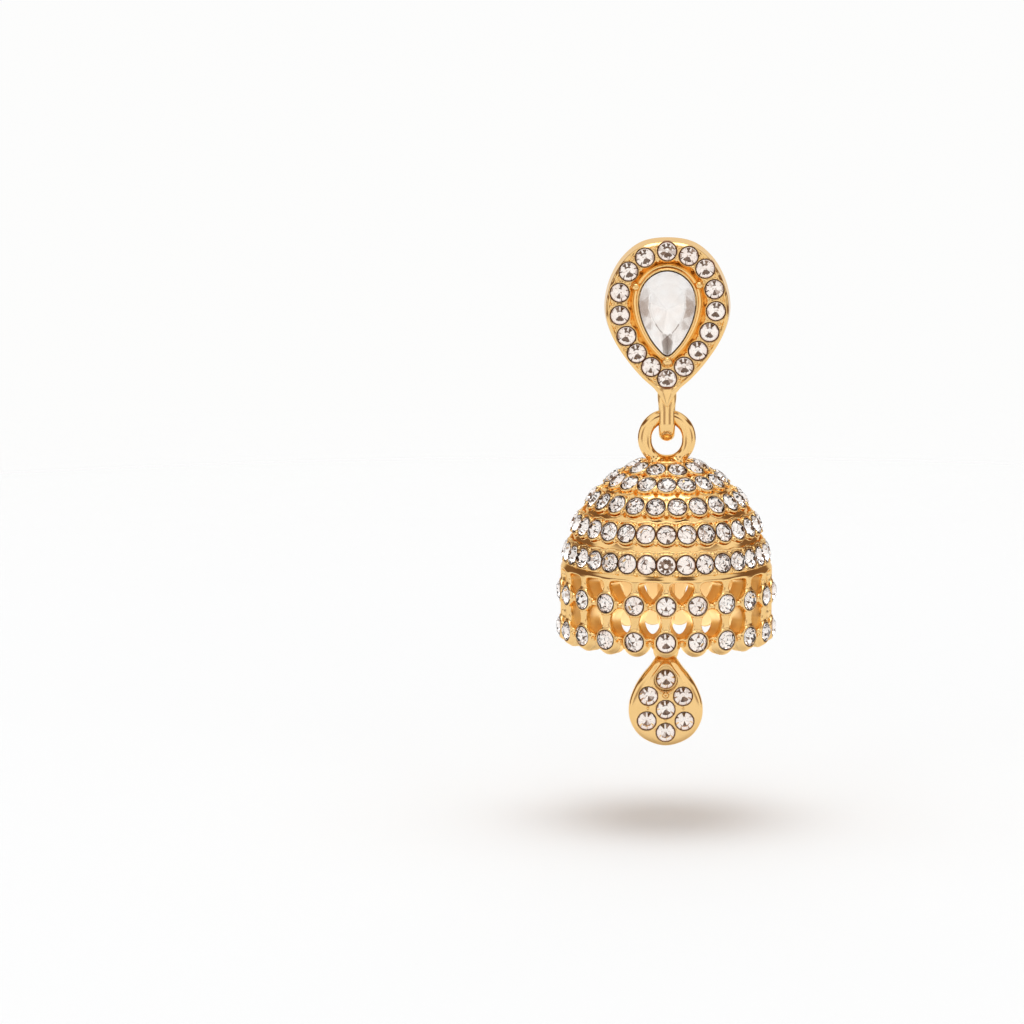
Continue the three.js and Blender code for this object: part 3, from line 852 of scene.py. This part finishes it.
def dome_field(u, s, h):
    a = u / R0
    lr, lz, nr, nz = LINE.at(s)
    rho, z = lr + h * nr, lz + h * nz
    f = h + 0.40 + 0.0 * a
    last = len(dome_rows) - 1
    for k, (rs, cr, cz, kr, kz, count, phase) in enumerate(dome_rows):
        near = np.abs(s - rs)
        alpha = 2 * math.pi / count
        al = ((a / alpha - phase + 0.5) % 1 - 0.5) * alpha

        def local(angle):
            dr = rho * np.cos(angle) - cr
            dz = z - cz
            return rho * np.sin(angle), dr * kz - dz * kr, dr * kr + dz * kz

        tx, ts, hh = local(al)
        other = np.abs(al) - alpha
        ox, os_, _ = local(other)
        rl = np.sqrt(tx * tx + ts * ts)
        ro = np.sqrt(ox * ox + os_ * os_)
        if k < last:
            collar = smin(rl, ro, 0.30) - 1.27
            collar = smax(collar, hh + UNDER - 0.05, 0.16)
        else:
            between = local(np.abs(al) - alpha / 2)[0]
            notch = 0.30 * np.exp(-((between / 0.15) ** 2))
            collar = smax(np.abs(ts) - 1.21 + notch, hh + UNDER - 0.07 + 0.4 * notch, 0.10)
        # a fine raised lip round each seat
        collar = smin(collar, np.sqrt((rl - 1.12) ** 2 + (hh + UNDER - 0.03) ** 2) - 0.075, 0.06)
        f = smin(f, np.where(near < 2.2, collar, 9.0), 0.16)
        if k >= 3:
            # the moulding over the row, waved with the stones
            over = 1.36 + 0.07 * np.cos(al / alpha * 2 * math.pi)
            ridge = np.sqrt((ts + over) ** 2 + (hh + UNDER + 0.10) ** 2) - 0.13
            f = smin(f, np.where(near < 3.0, ridge, 9.0), 0.09)
        # beads with a pricked middle between the stones, on the side of the foot
        bx, bs, bh = local(np.abs(al) - alpha / 2)
        gap = 0.90 if k < last else 0.95
        ball = np.sqrt(bx * bx + (bs - gap) ** 2 + (bh + UNDER - 0.06) ** 2)
        f = smin(f, ball - 0.27, 0.06)
        prick = np.sqrt(bx * bx + (bs - gap) ** 2 + (bh + UNDER - 0.34) ** 2)
        f = smax(f, 0.17 - prick, 0.03)
        ball = np.sqrt(bx * bx + (bs + gap) ** 2 + (bh + UNDER - 0.04) ** 2)
        f = smin(f, ball - 0.19, 0.06)
        f = smax(f, -(rl - 1.035 - np.minimum(0, hh + 0.15)), 0.045)
    return f


axes = [
    np.arange(520) * (2 * math.pi * R0 / 520),
    np.arange(0.55, LINE.s[-1] + 0.2, 0.12),
    np.arange(-1.30, 0.42, 0.105),
]
pts, quads = cast(dome_field, axes, wrap=True)


def dome_place(u, s, h):
    a = u / R0
    lr, lz, nr, nz = LINE.at(s)
    rho = lr + h * nr
    return np.stack([rho * np.sin(a), AXIS_Y - rho * np.cos(a), lz + h * nz], 1)


xyz = dome_place(*pts.T)
near_seat = np.full(len(pts), 9.0)
seat = np.full(len(pts), -1)
depth = np.zeros(len(pts))
for k, (rs, cr, cz, kr, kz, count, phase) in enumerate(dome_rows):
    alpha = 2 * math.pi / count
    turns = pts[:, 0] / R0 / alpha - phase + 0.5
    al = (turns % 1 - 0.5) * alpha
    rho = np.hypot(xyz[:, 0], xyz[:, 1] - AXIS_Y)
    dr, dz = rho * np.cos(al) - cr, xyz[:, 2] - cz
    d = np.sqrt((rho * np.sin(al)) ** 2 + (dr * kz - dz * kr) ** 2)
    above = dr * kr + dz * kz
    near_seat = np.minimum(near_seat, np.where(np.abs(above) < 1.0, d, 9.0))
    low = (d < 0.88) & (above < -0.28) & (above > -1.4)
    seat[low] = 100 * k + np.floor(turns[low]).astype(int) % count
    depth[low] = above[low]
faces = draw_together(quads[:, ::-1], seat, depth)
# painted shade: dark brown round each stone's seat
shade = 0.95 * (1 - step(1.05, 1.12, near_seat))
normals = field_normals(pts, dome_field, dome_place)
split = (dome_rows[2][0] + dome_rows[3][0]) / 2  # the two meshes meet in the groove between the third and fourth rows
used, part = choose(faces, lambda f: pts[f, 1].mean(1) < split)
crown = Build().add(xyz[used], part, 0, shade[used], normals=normals[used])
used, part = choose(faces, lambda f: pts[f, 1].mean(1) >= split)
dome = Build().add(xyz[used], part, 0, shade[used], normals=normals[used])
dome = dome.make("bell_dome", [GOLD, GOLD_INSIDE_LIT], "bell", "gold_plate")
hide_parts("bell")

# the inside of the dome: a smooth turned shell that carries the tiers
outer_shell = [(float(max(r - 1.0 * nr, 0)), float(z - 1.0 * nz)) for r, z, nr, nz in zip(*LINE.at(np.linspace(0.0, LINE.s[-1], 44)))]
inner_shell = [(float(max(r - 1.22 * nr, 0)), float(z - 1.22 * nz)) for r, z, nr, nz in zip(*LINE.at(np.linspace(0.0, LINE.s[-1], 44)))]
profile = outer_shell + inner_shell[::-1]
pts, quads = lathe(profile, 120)
inside = Build().add(pts, outward(pts, quads), 1)


def crown_field(x, y, z):
    dz = z - RING_Z
    outer = np.sqrt(x * x + dz * dz) - RING_OUT
    hz = dz - np.clip(dz, -RING_DROP, 0)
    inner = RING_IN - np.sqrt(x * x + hz * hz)
    half = (RING_OUT - RING_IN) / 2
    section = (np.abs(smax(outer, inner, 0.05) + half) / half) ** 2.5 + (np.abs(y) / 0.64) ** 2.5
    ring = (section ** 0.4 - 1) * 0.64
    foot = np.sqrt((x / 1.95) ** 2 + (y / 1.45) ** 2 + ((z + 17.35) / 0.8) ** 2 + 1e-9)
    foot = (foot - 1) * 0.8
    return smin(ring, foot, 0.35)


def from_axis(x, y, z):
    return np.stack([x, y + AXIS_Y, z], 1)


axes = [np.arange(-3.4, 3.41, 0.085), np.arange(-2.4, 2.41, 0.085), np.arange(-18.4, -11.2, 0.085)]
pts, quads = cast(crown_field, axes)
xyz = from_axis(*pts.T)
crown.add(xyz, outward(xyz, quads), 0, normals=field_normals(pts, crown_field, from_axis))
crown.make("bell_crown", [GOLD], "bell", "gold_plate")

# stem and hook inside the bell
stem = [
    (0.0, -17.2), (2.2, -17.25), (1.7, -17.7), (1.25, -18.3), (1.02, -19.2), (0.95, -20.5), (0.93, -27.0), (0.95, -34.0),
    (0.9, -34.5), (0.72, -34.95), (0.45, -35.2), (0.0, -35.3),
]
pts, quads = lathe(stem, 40)
inside.add(pts, outward(pts, quads), 1)


def hook_field(x, y, z):
    dz = z - np.clip(z, -36.44, -35.8)
    q = np.sqrt(y * y + dz * dz)
    half = 0.38 + 0.02 * np.clip((-36.44 - z), 0, 1)
    e = np.sqrt(((q - (1.5 - half)) / half) ** 2 + (x / 0.44) ** 2 + 1e-9)
    return (e - 1) * half


axes = [np.arange(-0.6, 0.61, 0.075), np.arange(-1.7, 1.71, 0.075), np.arange(-38.1, -34.0, 0.075)]
pts, quads = cast(hook_field, axes)
xyz = from_axis(*pts.T)
inside.add(xyz, outward(xyz, quads), 1, normals=field_normals(pts, hook_field, from_axis))
inside.make("bell_inside", [GOLD, GOLD_INSIDE_LIT], "bell", "gold_plate")

places = []
for s, cr, cz, kr, kz, count, phase in dome_rows:
    for k in range(count):
        a = (k + phase) * 2 * math.pi / count
        n = (kr * math.sin(a), -kr * math.cos(a), kz)
        places.append(((cr * math.sin(a), AXIS_Y - cr * math.cos(a), cz), n))
stones = Build()
set_stones(stones, places)
stones.make("dome_crystals", [CLEAR, FOIL], "bell", "crystal")

# ------------------------------------------------------------------ bell: openwork skirt

PITCH = 2 * math.pi * SKIRT_R / COLUMNS


def window(rows):
    """A rounded opening from (half width, z) pairs, from its top to its foot."""
    right = [(w, z) for w, z in rows]
    left = [(-w, z) for w, z in rows[1:-1]][::-1]
    return Outline(even(through(right + left, 16), 90), margin=2.4, pitch=0.03)


UPPER_WINDOW = window([(0.0, -28.48), (0.70, -28.50), (1.16, -28.66), (1.33, -29.08), (1.10, -29.66), (0.58, -30.34), (0.0, -30.74)])
LOWER_WINDOW = window([(0.0, -31.38), (0.46, -31.54), (0.96, -32.08), (1.22, -32.88), (0.98, -33.7), (0.46, -34.28), (0.0, -34.44)])
RAIL_TOP = -27.55


def skirt_field(u, v, h):
    z = -v
    x = ((u / PITCH + 0.5) % 1 - 0.5) * PITCH
    mid = (u / PITCH % 1 - 0.5) * PITCH
    ra = np.sqrt(x * x + (z - ROW_A) ** 2)
    rb = np.sqrt(x * x + (z - ROW_B) ** 2)
    taper = 0.17 * np.clip(-h - 0.2, 0, 1.8)
    plan = smax(-UPPER_WINDOW(mid, z) - taper, -LOWER_WINDOW(mid, z) - taper, 0.05)
    plan = smax(plan, smin(ROW_B - 0.42 - z, rb - 1.70, 0.25), 0.10)
    low = step(-34.2, -34.9, z)
    outer = h + 0.30 * low * step(1.25, 1.62, rb) + 0.42 * (1 - step(-27.5, -28.45, z))
    f = smax(plan, outer, 0.30 + 0.20 * step(-35.2, -36.0, z))
    f = smax(f, z - RAIL_TOP, 0.22)
    f = smax(f, -(h + SKIRT_R - SKIRT_IN), 0.25)
    for rr in (ra, rb):
        cup = smax(rr - 1.24, np.abs(h) - 0.13, 0.13)
        f = smin(f, cup, 0.18)
    # small beads where the cups meet
    for bx, bz, r in ((mid, -31.06, 0.26), (mid, -34.95, 0.22)):
        f = smin(f, np.sqrt(bx * bx + (z - bz) ** 2 + (h + 0.02) ** 2) - r, 0.12)
    for rr in (ra, rb):
        f = smax(f, -(rr - 1.035 - np.minimum(0, h + 0.05)), 0.045)
    return f


axes = [
    np.arange(546) * (COLUMNS * PITCH / 546),
    np.arange(27.5, 36.95, 0.127),
    np.array([-2.25, -2.12, -1.98, -1.86, -1.70, -1.45, -1.2, -1.08, -0.96, -0.8, -0.66, -0.54, -0.42, -0.31, -0.21, -0.11, -0.01, 0.09, 0.19, 0.3]),
]
pts, quads = cast(skirt_field, axes, wrap=True)


def skirt_place(u, v, h):
    a = u / SKIRT_R
    rho = SKIRT_R + h
    return np.stack([rho * np.sin(a), AXIS_Y - rho * np.cos(a), -v], 1)


xyz = skirt_place(*pts.T)
normals = field_normals(pts, skirt_field, skirt_place)
x = ((pts[:, 0] / PITCH + 0.5) % 1 - 0.5) * PITCH
to_a, to_b = np.hypot(x, pts[:, 1] + ROW_A), np.hypot(x, pts[:, 1] + ROW_B)
d = np.minimum(to_a, to_b)
low = (d < 0.88) & (pts[:, 2] < -0.18) & (pts[:, 2] > -1.3)
number = np.floor(pts[:, 0] / PITCH + 0.5).astype(int) % COLUMNS + 100 * (to_b < to_a)
quads = outward(xyz, quads)
faces = draw_together(quads, np.where(low, number, -1), pts[:, 2])
# painted shade: dark brown round each stone's seat, on the outer face
shade = 0.95 * (1 - step(1.05, 1.12, d)) * step(-1.6, -1.2, pts[:, 2])
# painted bounce light: the faces inside the bell are marked to be painted lighter and more orange
inner = 1 - step(-1.0, -0.15, pts[:, 2])
for name, upper in (("bell_skirt", True), ("bell_hem", False)):  # the two meshes meet across the middle of the bars
    used, part = choose(faces, lambda f: (pts[f, 1].mean(1) < 32.4) == upper)
    band = Build().add(xyz[used], part, 0, shade[used], inner=inner[used], normals=normals[used])
    band.make(name, [GOLD], "bell", "gold_plate")

places = []
for row in (ROW_A, ROW_B):
    for k in range(COLUMNS):
        a = k * 2 * math.pi / COLUMNS
        n = (math.sin(a), -math.cos(a), 0.0)
        r = SKIRT_R + 0.12
        places.append(((r * n[0], AXIS_Y + r * n[1], row), n))
stones = Build()
set_stones(stones, places)
stones.make("skirt_crystals", [CLEAR, FOIL], "bell", "crystal")

# ------------------------------------------------------------------ drop

drop_edge = even(through(mirrored(DROP_OUTLINE), 24), 120)
DROP = Outline(drop_edge)


def drop_field(x, w, z):
    o = DROP(x, z)
    s = nearest(x, z, DROP_STONES)
    top_z = DROP_STONES[0][1]
    up = np.clip(z - top_z, 0, 3)
    tip = np.sqrt((x / (1 - 0.30 * step(0.0, 1.5, up))) ** 2 + ((z - top_z) / np.where(z > top_z, 1.22, 1.0)) ** 2)
    body = smax(o, np.abs(w) - 1.24, 1.05)
    t = np.clip((-37.9 - z) / 2.2, 0, 1)
    neck = np.sqrt((x / (0.95 + 1.15 * t * t)) ** 2 + (w / (0.46 + 0.6 * t)) ** 2 + 1e-9) - 1
    neck = smax(neck * 0.7, np.maximum(z + 37.8, -40.6 - z), 0.1)
    body = smin(body, neck, 0.25)
    body = smax(body, w - 1.17 + 0.20 * np.exp(np.minimum(o, 0) / 0.9), 0.20)
    # the hollow round the first stone and its lip
    lip = np.sqrt((tip - 1.42) ** 2 + (w - 1.04) ** 2) - 0.19
    body = smin(body, np.where(o < -0.15, lip, 9.0), 0.06)
    body = smax(body, -np.maximum(tip - 1.26, 0.55 - w), 0.08)
    body = smax(body, -(s - 1.02 - np.minimum(0, w - 1.0 + 0.34 * (z > -41.8))), 0.05)
    for bx, bz, r in DROP_BEADS:
        body = smin(body, np.sqrt((x - bx) ** 2 + (z - bz) ** 2 + (w - 1.10) ** 2) - r, 0.05)
    body = smax(body, 0.17 - np.sqrt(x * x + (z + 42.22) ** 2 + (w - 1.50) ** 2), 0.03)
    q = np.sqrt(x * x + (z - EYE_Z) ** 2)
    eye = smax(np.abs(q - (EYE_OUT + EYE_IN) / 2) - (EYE_OUT - EYE_IN) / 2, np.abs(w) - 0.44, 0.30)
    body = smin(body, eye, 0.25)
    return smax(body, EYE_IN - q, 0.05)


DROP_BEADS = [
    (0.0, -42.32, 0.38), (-0.98, -43.62, 0.12), (0.98, -43.62, 0.12), (-1.92, -43.8, 0.14), (1.92, -43.8, 0.14),
    (-1.08, -46.12, 0.12), (1.08, -46.12, 0.12), (0.0, -45.16, 0.13),
]
axes = [np.arange(-4.3, 4.31, 0.085), np.arange(-1.55, 1.56, 0.085), np.arange(-48.3, -35.9, 0.085)]
pts, quads = cast(drop_field, axes)
s = nearest(pts[:, 0], pts[:, 2], DROP_STONES)
# painted shade: dark brown round each stone's seat, on the front only
shade = 0.95 * (1 - step(1.03, 1.10, s)) * step(0.0, 0.3, pts[:, 1])
above = np.clip(pts[:, 2] - DROP_STONES[0][1], 0, 3)
hollow = np.hypot(pts[:, 0], (pts[:, 2] - DROP_STONES[0][1]) / (1 + 0.22 * (above > 0)))
# painted shade: a light brown in the hollow round the first stone, where the recess is shaded
shade = np.maximum(shade, 0.16 * (1 - step(1.18, 1.32, hollow)) * step(0.3, 0.5, pts[:, 1]))


def drop_place(x, w, z):
    return np.stack([x, AXIS_Y - w, z], 1)


xyz = drop_place(*pts.T)
drop = Build().add(xyz, outward(xyz, quads), 0, shade, normals=field_normals(pts, drop_field, drop_place))
drop = drop.make("drop_metal", [GOLD], "drop", "gold_plate")
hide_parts("pear_drop")

stones = Build()
places = []
for k, (x, z) in enumerate(DROP_STONES):
    w = 0.80 if k == 0 else 1.13
    places.append(((x, AXIS_Y - w, z), (0, -1, 0)))
set_stones(stones, places, 0.955)
stones.make("drop_crystals", [CLEAR, FOIL], "drop", "crystal")

# ------------------------------------------------------------------ stage, light and camera

FLOOR_Z = -55.8


def stage():
    """A pale floor that thins out into the pale surroundings."""
    m, t, nodes, links, bsdf = tree_of("pale_floor")
    coords = nodes.new("ShaderNodeTexCoord")
    n = noise(nodes, links, coords, 6.0, 2.0)
    c = blend_colours(nodes, links, n.outputs["Fac"], (0.854, 0.877, 0.893), (0.864, 0.887, 0.903))
    links.new(c.outputs["Result"], bsdf.inputs["Base Color"])
    bsdf.inputs["Roughness"].default_value = 0.85
    bsdf.inputs["Specular IOR Level"].default_value = 0.1
    clear = nodes.new("ShaderNodeBsdfTransparent")
    geometry = nodes.new("ShaderNodeNewGeometry")
    mix = nodes.new("ShaderNodeMixShader")
    far = nodes.new("ShaderNodeVectorMath")
    far.operation = "LENGTH"
    links.new(coords.outputs["Object"], far.inputs[0])
    fade = spread(nodes, links, far.outputs["Value"], 0.15, 0.34, 0.0, 1.0)
    fade.interpolation_type = "SMOOTHSTEP"
    clearer = nodes.new("ShaderNodeMath")
    clearer.operation = "MAXIMUM"
    links.new(fade.outputs["Result"], clearer.inputs[0])
    links.new(geometry.outputs["Backfacing"], clearer.inputs[1])
    links.new(clearer.outputs[0], mix.inputs["Fac"])
    links.new(bsdf.outputs["BSDF"], mix.inputs[1])
    links.new(clear.outputs["BSDF"], mix.inputs[2])
    links.new(mix.outputs["Shader"], nodes["Material Output"].inputs["Surface"])
    rings = [[(x, y, FLOOR_Z) for x in (-400.0, -200.0, 0.0, 200.0, 400.0)] for y in (-400.0, -200.0, 0.0, 200.0, 400.0)]
    pts, quads = sweep(rings, closed_rings=False)
    me = bpy.data.meshes.new("floor")
    me.from_pydata([tuple(p * MM) for p in pts], [], [tuple(int(i) for i in q) for q in quads])
    me.materials.append(m)
    for p in me.polygons:
        p.use_smooth = True
    me.update()
    o = bpy.data.objects.new("floor", me)
    bpy.context.scene.collection.objects.link(o)
    if me.polygons[2].normal.z < 0:
        me.flip_normals()


stage()


MIDDLE = Vector((0.0, AXIS_Y * MM, -0.0205))
sun = bpy.data.lights.new("top_light", "SUN")
sun.energy = 1.10
sun.angle = math.radians(44)
sun_object = bpy.data.objects.new("top_light", sun)
bpy.context.scene.collection.objects.link(sun_object)
sun_object.rotation_euler = (math.radians(-2), 0, 0)


fill = bpy.data.lights.new("mouth_light", "AREA")  # what the floor throws back into the bell
fill.shape = "DISK"
fill.size = 0.017
fill.energy = 0.00055
fill_object = bpy.data.objects.new("mouth_light", fill)
bpy.context.scene.collection.objects.link(fill_object)
fill_object.location = (0.0, AXIS_Y * MM, -0.0372)
fill_object.rotation_euler = (math.pi, 0, 0)
fill_object.visible_camera = False


def studio():
    """A soft room: bright overhead and in front, dim at the sides behind, with white panels at the left and right."""
    w = bpy.data.worlds.new("studio")
    bpy.context.scene.world = w
    w.use_nodes = True
    nodes, links = w.node_tree.nodes, w.node_tree.links
    coords = nodes.new("ShaderNodeTexCoord")

    def maths(kind, a, b=None, c=None):
        n = nodes.new("ShaderNodeMath")
        n.operation = kind
        for i, v in enumerate((a, b, c)):
            if v is None:
                continue
            if isinstance(v, (int, float)):
                n.inputs[i].default_value = v
            else:
                links.new(v, n.inputs[i])
        return n.outputs[0]

    def facing(direction, lo, hi, amount):
        """Rises smoothly from 0 to amount as the view turns towards the direction."""
        d = Vector(direction).normalized()
        dot = nodes.new("ShaderNodeVectorMath")
        dot.operation = "DOT_PRODUCT"
        dot.inputs[1].default_value = d
        links.new(coords.outputs["Generated"], dot.inputs[0])
        r = nodes.new("ShaderNodeMapRange")
        r.interpolation_type = "SMOOTHSTEP"
        r.inputs["From Min"].default_value = lo
        r.inputs["From Max"].default_value = hi
        r.inputs["To Min"].default_value = 0.0
        r.inputs["To Max"].default_value = amount
        links.new(dot.outputs["Value"], r.inputs["Value"])
        return r.outputs["Result"]

    low = maths("ADD", facing((0, -1, 0), -0.30, -0.05, ROOM_FRONT - ROOM_SIDE), ROOM_SIDE)
    low = maths("MAXIMUM", low, facing((0, 1, 0), 0.80, 0.90, ROOM_BACK))
    low = maths("MULTIPLY", low, maths("SUBTRACT", 1.0, facing((0, 0, 1), 0.30, 0.40, 1.0)))
    level = maths("ADD", low, facing((0, 0, 1), 0.30, 0.40, ROOM_GAP))
    level = maths("ADD", level, facing((0, 0, 1), 0.56, 0.64, ROOM_TOP - ROOM_GAP))
    for direction, lo, hi, radiance in BRIGHT:
        level = maths("MAXIMUM", level, facing(direction, lo, hi, radiance))
    for direction, lo, hi, share in DARK:
        level = maths("MULTIPLY", level, maths("SUBTRACT", 1.0, facing(direction, lo, hi, share)))
    room = nodes["Background"]
    share = maths("MAXIMUM", maths("MINIMUM", maths("MULTIPLY_ADD", level, 1.4, -0.28), 1.0), 0.0)
    tint = blend_colours(nodes, links, share, (0.72, 0.40, 0.22), (1.0, 0.99, 0.98))
    links.new(tint.outputs["Result"], room.inputs["Color"])
    links.new(level, room.inputs["Strength"])
    plain = nodes.new("ShaderNodeBackground")
    plain.inputs["Color"].default_value = (0.98, 0.98, 0.975, 1.0)
    path = nodes.new("ShaderNodeLightPath")
    mix = nodes.new("ShaderNodeMixShader")
    links.new(path.outputs["Is Camera Ray"], mix.inputs["Fac"])
    links.new(room.outputs["Background"], mix.inputs[1])
    links.new(plain.outputs["Background"], mix.inputs[2])
    links.new(mix.outputs["Shader"], nodes["World Output"].inputs["Surface"])


ROOM_TOP, ROOM_GAP, ROOM_FRONT, ROOM_SIDE, ROOM_BACK = 0.97, 0.26, 1.05, 0.30, 0.90
BRIGHT = [  # direction, cosines of the outer and inner edge, radiance
    ((0.0, -0.80, 0.60), 0.72, 0.80, 1.06),
    ((-0.62, -0.78, 0.10), 0.93, 0.96, 1.05),
    ((0.66, -0.74, 0.08), 0.93, 0.96, 0.98),
    ((0.0, 0.90, 0.43), 0.90, 0.96, 0.80),
]
DARK = [  # direction, cosines of the outer and inner edge, share of the light taken away
    ((0.0, -0.989, 0.15), 0.978, 0.990, 0.84),
    ((-0.50, -0.855, -0.14), 0.950, 0.990, 0.50),
    ((0.56, -0.817, -0.14), 0.950, 0.990, 0.50),
    ((-0.20, -0.62, 0.76), 0.985, 0.992, 0.85),
    ((0.30, -0.55, 0.78), 0.985, 0.992, 0.85),
]
studio()

camera = bpy.data.cameras.new("camera")
camera.lens = 200.0
camera.sensor_width = 36.0
camera.clip_start, camera.clip_end = 0.05, 20.0
eye = bpy.data.objects.new("camera", camera)
bpy.context.scene.collection.objects.link(eye)
bpy.context.scene.camera = eye
ELEVATION = math.asin(0.1495)
PX_PER_MM = 9.33
back = Vector((0.0, -math.cos(ELEVATION), math.sin(ELEVATION)))
up = Vector((0.0, math.sin(ELEVATION), math.cos(ELEVATION)))
distance = 1024 / PX_PER_MM * camera.lens / camera.sensor_width * MM
eye.location = MIDDLE + back * distance
aim = MIDDLE + Vector((-154.5 / PX_PER_MM, 0, 0)) * MM + up * (-19.7 / PX_PER_MM * MM)
eye.rotation_mode = "QUATERNION"
eye.rotation_quaternion = (aim - eye.location).to_track_quat("-Z", "Y")

bpy.context.scene.view_settings.view_transform = "Standard"
